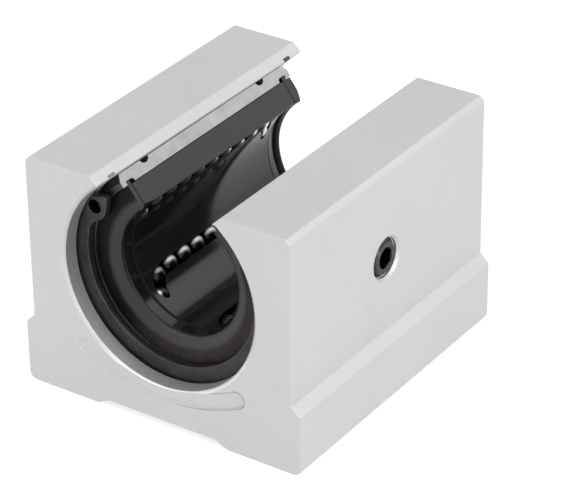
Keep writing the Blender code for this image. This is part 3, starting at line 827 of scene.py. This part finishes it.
def ground_steel():
    """Ground bearing steel, with grinding lines round it and milled cut faces."""
    n = Nodes("ground_bearing_steel")
    lines = n.noise(1.0, 2.0, 0.6, n.scaled((120.0, 5200.0, 120.0)))
    milled = n.noise(1.0, 3.0, 0.6, n.scaled((2600.0, 60.0, 2600.0)))
    grain = n.noise(3600.0, 3.0, 0.6)
    stain = n.noise(260.0, 4.0, 0.6)
    tone = n.maths('ADD', n.span(lines, -0.03, 0.03), n.span(milled, -0.02, 0.02))
    tone = n.maths('ADD', tone, n.span(stain, -0.09, 0.07, 0.25, 0.75))
    bright = n.maths('ADD', tone, 0.40)
    # the end faces are painted dark, a painted shade on them
    geometry = n.node("ShaderNodeNewGeometry")
    split = n.node("ShaderNodeSeparateXYZ")
    n.link(geometry.outputs["True Normal"], split.inputs[0])
    place = n.node("ShaderNodeSeparateXYZ")
    n.link(n.place, place.inputs[0])
    scale = n.maths('MULTIPLY', n.span(n.maths('ABSOLUTE', split.outputs[1]), 0.0, 1.0, 0.15, 0.3),
                    n.span(n.maths('ABSOLUTE', place.outputs[1]), 0.0, 1.0, 0.0200, 0.0201))
    bright = n.mix_value(scale, bright, n.span(stain, 0.035, 0.10))
    colour = n.node("ShaderNodeCombineColor")
    n.link(bright, colour.inputs[0])
    n.link(n.maths('MULTIPLY', bright, 0.995), colour.inputs[1])
    n.link(n.maths('MULTIPLY', bright, 0.985), colour.inputs[2])
    rough = n.maths('ADD', n.span(stain, -0.05, 0.05), n.span(lines, 0.30, 0.40))
    height = n.maths('ADD', n.maths('MULTIPLY', lines, 0.6), n.maths('MULTIPLY', grain, 0.5))
    return n.set(colour=colour.outputs[0], metallic=1.0, roughness=rough,
                 normal=n.bump(height, 0.000005, 0.5))


def black_plastic():
    """Moulded black acetal: soft sheen, fine moulded texture, faint flow marks."""
    n = Nodes("moulded_black_plastic")
    fine = n.noise(4200.0, 3.0, 0.6)
    flow = n.noise(1.0, 3.0, 0.6, n.scaled((500.0, 90.0, 500.0)))
    dust = n.noise(1500.0, 6.0, 0.75)
    specks = n.span(dust, 0.0, 1.0, 0.66, 0.74)
    colour = n.mix(n.span(flow, 0.0, 1.0, 0.3, 0.7), (0.006, 0.006, 0.0062), (0.010, 0.010, 0.0105))
    colour = n.mix(n.maths('MULTIPLY', specks, 0.25), colour, (0.045, 0.044, 0.042))
    rough = n.maths('ADD', n.span(flow, 0.115, 0.15), n.span(fine, -0.02, 0.03))
    # the step inside each mouth holds dust and is dull
    split = n.node("ShaderNodeSeparateXYZ")
    n.link(n.place, split.inputs[0])
    step = n.maths('ABSOLUTE', n.maths('SUBTRACT', n.maths('ABSOLUTE', split.outputs[1]), TAPER_AT + 0.0001))
    height = n.maths('SUBTRACT', split.outputs[2], AXIS)
    radius = n.maths('SQRT', n.maths('ADD', n.maths('MULTIPLY', split.outputs[0], split.outputs[0]),
                                     n.maths('MULTIPLY', height, height)))
    step = n.maths('MULTIPLY', n.span(step, 1.0, 0.0, 0.00018, 0.00026),
                   n.span(radius, 1.0, 0.0, CAGE_IN + 0.00014, CAGE_IN + 0.00022))
    rough = n.mix_value(step, rough, 0.45)
    return n.set(colour=colour, roughness=rough, specular=n.mix_value(step, 0.5, 0.12),
                 normal=n.bump(n.maths('ADD', fine, n.maths('MULTIPLY', flow, 0.8)), 0.000004, 0.4))


def black_rubber():
    """Nitrile rubber: dull, with a faint warm painted light low down and fine moulding grain."""
    n = Nodes("black_nitrile_rubber")
    fine = n.noise(3200.0, 4.0, 0.65)
    rubber_mottle = n.noise(330.0, 4.0, 0.6)
    split = n.node("ShaderNodeSeparateXYZ")
    n.link(n.place, split.inputs[0])
    x, y, z = split.outputs
    height = n.maths('SUBTRACT', z, AXIS)
    radius = n.maths('SQRT', n.maths('ADD', n.maths('MULTIPLY', x, x),
                                     n.maths('MULTIPLY', height, height)))
    # a paler, warmer tone is painted low down on the right, a painted light there, and a paler band is
    # painted over the dished lip inside the dull black ring
    low = n.span(n.maths('SUBTRACT', n.maths('MULTIPLY', x, 0.75), height), 0.0, 1.0, 0.002, 0.013)
    painted_light_tint = n.mix(n.span(rubber_mottle, 0.0, 1.0, 0.35, 0.7), (0.026, 0.020, 0.021), (0.052, 0.040, 0.041))
    colour = n.mix(n.span(rubber_mottle, 0.0, 1.0, 0.35, 0.7), (0.0022, 0.0022, 0.0023), (0.0045, 0.0044, 0.0044))
    colour = n.mix(n.maths('MULTIPLY', low, 0.8), colour, painted_light_tint)
    lip = n.span(n.maths('ADD', radius, n.span(rubber_mottle, -0.00025, 0.00025)), 1.0, 0.0, 0.0114, 0.0122)
    colour = n.mix(n.maths('MULTIPLY', lip, 0.45), colour, (0.024, 0.023, 0.023))
    # the carrier ring behind the rubber is a dark grey plastic
    behind = n.maths('MULTIPLY', n.span(y, 0.0, 0.00062, -0.001, 0.001),
                     n.maths('SUBTRACT', 1.0, n.face_share(1, 0.3)))
    carrier = n.span(n.maths('SUBTRACT', n.maths('ABSOLUTE', y), behind), 1.0, 0.0, 0.01984, 0.01988)
    rim = n.span(radius, 0.0, 1.0, 0.01068, 0.01085)
    ring = n.maths('MULTIPLY', carrier, rim)
    colour = n.mix(ring, colour, (0.010, 0.010, 0.0105))
    rough = n.maths('ADD', n.span(rubber_mottle, 0.34, 0.46), n.span(fine, -0.04, 0.04))
    rough = n.mix_value(ring, rough, n.span(fine, 0.11, 0.16))
    gloss = n.mix_value(ring, n.mix_value(lip, 0.10, 0.42), 0.5)
    return n.set(colour=colour, roughness=rough, specular=gloss,
                 normal=n.bump(fine, 0.000010, 0.5))


def spring_steel():
    """Phosphated spring steel: dark grey, stamped grain, paler on its edges."""
    n = Nodes("phosphated_spring_steel")
    grain = n.noise(2600.0, 5.0, 0.7)
    patch = n.noise(420.0, 4.0, 0.6)
    colour = n.mix(n.span(patch, 0.0, 1.0, 0.3, 0.72), (0.030, 0.030, 0.031), (0.055, 0.0545, 0.054))
    colour = n.mix(n.span(grain, 0.0, 0.5, 0.58, 0.80), colour, (0.10, 0.099, 0.097))
    bevel = n.node("ShaderNodeBevel", samples=4)
    bevel.inputs["Radius"].default_value = 0.00012
    geometry = n.node("ShaderNodeNewGeometry")
    dot = n.node("ShaderNodeVectorMath", operation='DOT_PRODUCT')
    n.link(bevel.outputs[0], dot.inputs[0])
    n.link(geometry.outputs["Normal"], dot.inputs[1])
    edge = n.span(dot.outputs["Value"], 0.55, 0.0, 0.90, 0.99)
    edge = n.maths('MULTIPLY', edge, n.span(grain, 0.4, 1.0, 0.35, 0.6))
    colour = n.mix(edge, colour, (0.30, 0.295, 0.285))
    # the walls of the punched holes are painted near-black, a painted shade in them
    split = n.node("ShaderNodeSeparateXYZ")
    n.link(n.place, split.inputs[0])
    side = n.maths('ABSOLUTE', split.outputs[0])
    spot = polar(LUG_HOLE_AT, LUG_ANGLE, 0.0)
    dx, dz = n.maths('SUBTRACT', side, spot[0]), n.maths('SUBTRACT', split.outputs[2], spot[2])
    away = n.maths('SQRT', n.maths('ADD', n.maths('MULTIPLY', dx, dx), n.maths('MULTIPLY', dz, dz)))
    colour = n.mix(n.span(away, 1.0, 0.0, LUG_HOLE + 0.00002, LUG_HOLE + 0.00012), colour,
                   (0.010, 0.0098, 0.0095))
    return n.set(colour=colour, metallic=0.75, roughness=n.span(grain, 0.34, 0.50),
                 normal=n.bump(grain, 0.000010, 0.5))


def screw_steel():
    """Blackened alloy steel, worn bright on the ridges of its thread."""
    n = Nodes("blackened_screw_steel")
    grain = n.noise(3000.0, 4.0, 0.65)
    patch = n.noise(500.0, 3.0, 0.6)
    colour = n.mix(n.span(patch, 0.0, 1.0, 0.3, 0.7), (0.026, 0.026, 0.0275), (0.058, 0.0575, 0.056))
    bevel = n.node("ShaderNodeBevel", samples=4)
    bevel.inputs["Radius"].default_value = 0.00010
    geometry = n.node("ShaderNodeNewGeometry")
    dot = n.node("ShaderNodeVectorMath", operation='DOT_PRODUCT')
    n.link(bevel.outputs[0], dot.inputs[0])
    n.link(geometry.outputs["Normal"], dot.inputs[1])
    edge = n.span(dot.outputs["Value"], 0.6, 0.0, 0.88, 0.99)
    colour = n.mix(n.maths('MULTIPLY', edge, n.span(grain, 0.3, 1.0, 0.35, 0.6)), colour, (0.26, 0.255, 0.25))
    split = n.node("ShaderNodeSeparateXYZ")
    n.link(n.place, split.inputs[0])
    height = n.maths('SUBTRACT', split.outputs[2], AXIS)
    across = n.maths('SUBTRACT', split.outputs[1], SCREW_Y)
    radius = n.maths('SQRT', n.maths('ADD', n.maths('MULTIPLY', across, across),
                                     n.maths('MULTIPLY', height, height)))
    # the inside of the socket is painted black, a painted shade in it
    socket_shade = n.maths('MULTIPLY', n.span(radius, 1.0, 0.0, 0.00176, 0.00184),
                  n.span(split.outputs[0], 1.0, 0.0, 0.02216, 0.02232))
    colour = n.mix(socket_shade, colour, (0.006, 0.006, 0.006))
    return n.set(colour=colour, metallic=0.85, roughness=n.span(grain, 0.28, 0.44),
                 normal=n.bump(grain, 0.000008, 0.5))


def ball_steel():
    """Polished chrome steel, with the faintest haze and lapping marks."""
    n = Nodes("polished_ball_steel")
    haze = n.noise(1400.0, 4.0, 0.6)
    laps = n.noise(1.0, 2.0, 0.6, n.scaled((5200.0, 900.0, 2600.0)))
    colour = n.mix(n.span(haze, 0.0, 1.0, 0.3, 0.7), (0.56, 0.56, 0.562), (0.66, 0.66, 0.661))
    # painted shade: the balls low in the bore are painted dark up to a ragged line, which drops away near the
    # front end, and deeper down they are painted dark in patches, near-black towards the front
    split = n.node("ShaderNodeSeparateXYZ")
    n.link(n.place, split.inputs[0])
    level = n.maths('ADD', split.outputs[2], n.span(n.noise(900.0, 3.0, 0.6), -0.00022, 0.00022))
    level = n.maths('ADD', level, n.span(split.outputs[1], 0.0028, 0.0, -0.0158, -0.0148))
    ball_shade = n.span(level, 1.0, 0.0, AXIS - 0.00580, AXIS - 0.00500)
    deep_ball_shade = n.span(split.outputs[2], 1.0, 0.0, AXIS - 0.0100, AXIS - 0.0092)
    front = n.span(split.outputs[1], 1.0, 0.0, -0.0096, -0.0086)
    deep_shade_patches = n.span(haze, 0.10, 0.55, 0.35, 0.65)
    ball_shade = n.mix_value(deep_ball_shade, ball_shade, n.mix_value(front, deep_shade_patches, 1.0))
    thick = n.maths('MULTIPLY', deep_ball_shade, front)
    colour = n.mix(ball_shade, colour, n.mix(thick, (0.035, 0.034, 0.033), (0.010, 0.010, 0.010)))
    return n.set(colour=colour, metallic=1.0, roughness=n.span(haze, 0.25, 0.32),
                 normal=n.bump(laps, 0.0000015, 0.4))


def floor_material():
    n = Nodes("pale_floor")
    cloud = n.noise(9.0, 3.0, 0.5)
    grain = n.noise(900.0, 2.0, 0.5)
    colour = n.mix(n.span(cloud, 0.0, 1.0, 0.3, 0.7), (0.40, 0.40, 0.40), (0.42, 0.42, 0.42))
    # a light table: it glows, so the part throws hardly any shadow
    n.shader.inputs["Emission Color"].default_value = (1.0, 1.0, 1.0, 1.0)
    n.shader.inputs["Emission Strength"].default_value = 0.62
    return n.set(colour=colour, roughness=0.75, specular=0.1, normal=n.bump(grain, 0.00002, 0.2))


# ------------------------------------------------------------------ assembly
def dress(obj, material, body, slot, *nodes):
    obj.data.materials.clear()
    obj.data.materials.append(material)
    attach(obj, body)
    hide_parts(*nodes)


def build():
    circuits = [Circuit(angle) for angle in CIRCUITS]
    metal, steel, plastic = aluminium(), ground_steel(), black_plastic()
    rubber, spring, screw = black_rubber(), spring_steel(), screw_steel()
    chrome = ball_steel()
    dress(make_housing(), metal, "block", "housing", "housing")
    dress(make_sleeve(circuits), steel, "block", "sleeve", "outer_sleeve")
    dress(make_cage(circuits), plastic, "block", "retainer", "ball_retainer")
    dress(make_seal("seal_front", -1.0), rubber, "block", "seal", "front_end_seal")
    dress(make_seal("seal_rear", 1.0), rubber, "block", "seal", "rear_end_seal")
    dress(make_clip("clip_front", -1.0), spring, "block", "circlip", "front_circlip")
    dress(make_clip("clip_rear", 1.0), spring, "block", "circlip", "rear_circlip")
    dress(make_screw(), screw, "set_screw", "set_screw", "set_screw")
    for number, circuit in enumerate(circuits, 1):
        label = "circuit_%d_" % number
        for kind, body, row in (("loaded_balls", "loaded_row", circuit.loaded),
                                ("return_balls", "return_row", circuit.back)):
            centres = [row + Vector((0.0, -STRAIGHT_HALF + PITCH * (k + 0.5), 0.0))
                       for k in range(STRAIGHT)]
            dress(make_balls("steel_%s%s" % (label, kind), centres), chrome,
                  label + body, "balls", label + kind)
        for kind, body, end in (("front_turn_balls", "front_turn", -1.0),
                                ("rear_turn_balls", "rear_turn", 1.0)):
            centres = [circuit.turn_point(end, math.pi * (k + 0.5) / TURN) for k in range(TURN)]
            dress(make_balls("steel_%s%s" % (label, kind), centres), chrome,
                  label + body, "balls", label + kind)


# ------------------------------------------------------------ studio, camera
def area(name, place, target, size, power, colour=(1.0, 1.0, 1.0)):
    light = bpy.data.lights.new(name, 'AREA')
    light.shape = 'RECTANGLE'
    light.size, light.size_y = size
    light.energy = power
    light.color = colour
    obj = bpy.data.objects.new(name, light)
    obj.location = place
    obj.rotation_euler = (Vector(target) - Vector(place)).to_track_quat('-Z', 'Y').to_euler()
    bpy.context.scene.collection.objects.link(obj)
    return obj


def studio():
    scene = bpy.context.scene
    scene.view_settings.view_transform = 'Standard'
    scene.view_settings.look = 'None'
    world = bpy.data.worlds.new("studio")
    scene.world = world
    world.use_nodes = True
    tree = world.node_tree
    back = tree.nodes["Background"]
    back.inputs["Color"].default_value = (1.0, 1.0, 1.0, 1.0)
    # a white tent: brightest overhead and a little brighter to the right, with
    # a broad soft box behind on the right
    place = tree.nodes.new("ShaderNodeTexCoord").outputs["Generated"]

    def ramp(value, low, high, start, end):
        item = tree.nodes.new("ShaderNodeMapRange")
        item.interpolation_type = 'SMOOTHSTEP'
        for name, number in (("From Min", low), ("From Max", high), ("To Min", start), ("To Max", end)):
            item.inputs[name].default_value = number
        tree.links.new(value, item.inputs["Value"])
        return item.outputs["Result"]

    def along(direction):
        item = tree.nodes.new("ShaderNodeVectorMath")
        item.operation = 'DOT_PRODUCT'
        item.inputs[1].default_value = direction
        tree.links.new(place, item.inputs[0])
        return item.outputs["Value"]

    def add(a, b):
        item = tree.nodes.new("ShaderNodeMath")
        tree.links.new(a, item.inputs[0])
        tree.links.new(b, item.inputs[1])
        return item.outputs[0]

    rise = ramp(along((0.0, 0.0, 1.0)), 0.45, 1.0, 0.97, 1.42)
    box = ramp(along((0.44, 0.70, 0.56)), 0.80, 1.0, 0.0, 0.38)
    tree.links.new(add(add(rise, along((0.18, -0.14, 0.0))), box), back.inputs["Strength"])
    area("key", (-0.28, -0.32, 0.50), (0, 0, 0.02), (0.40, 0.40), 0.45)
    area("fill", (0.55, -0.15, 0.30), (0, 0, 0.02), (0.25, 0.25), 1.2)
    floor = make("floor", [(-3, -3, 0), (3, -3, 0), (3, 3, 0), (-3, 3, 0)], [(0, 1, 2, 3)])
    floor.data.materials.append(floor_material())

    camera = bpy.data.cameras.new("camera")
    camera.sensor_width = 36.0
    camera.lens = 36.0 * 2972.27 / 578.0
    camera.clip_start, camera.clip_end = 0.01, 20.0
    obj = bpy.data.objects.new("camera", camera)
    right = Vector((0.8292537, 0.5587847, -0.0098991))
    up = Vector((-0.2721312, 0.4191953, 0.8661523))
    back_axis = Vector((0.4881423, -0.7155662, 0.499682))
    matrix = Matrix((right, up, back_axis)).transposed().to_4x4()
    matrix.translation = Vector((0.216757, -0.310343, 0.234821))
    obj.matrix_world = matrix
    scene.collection.objects.link(obj)
    scene.camera = obj


studio()
build()
bpy.context.view_layer.update()
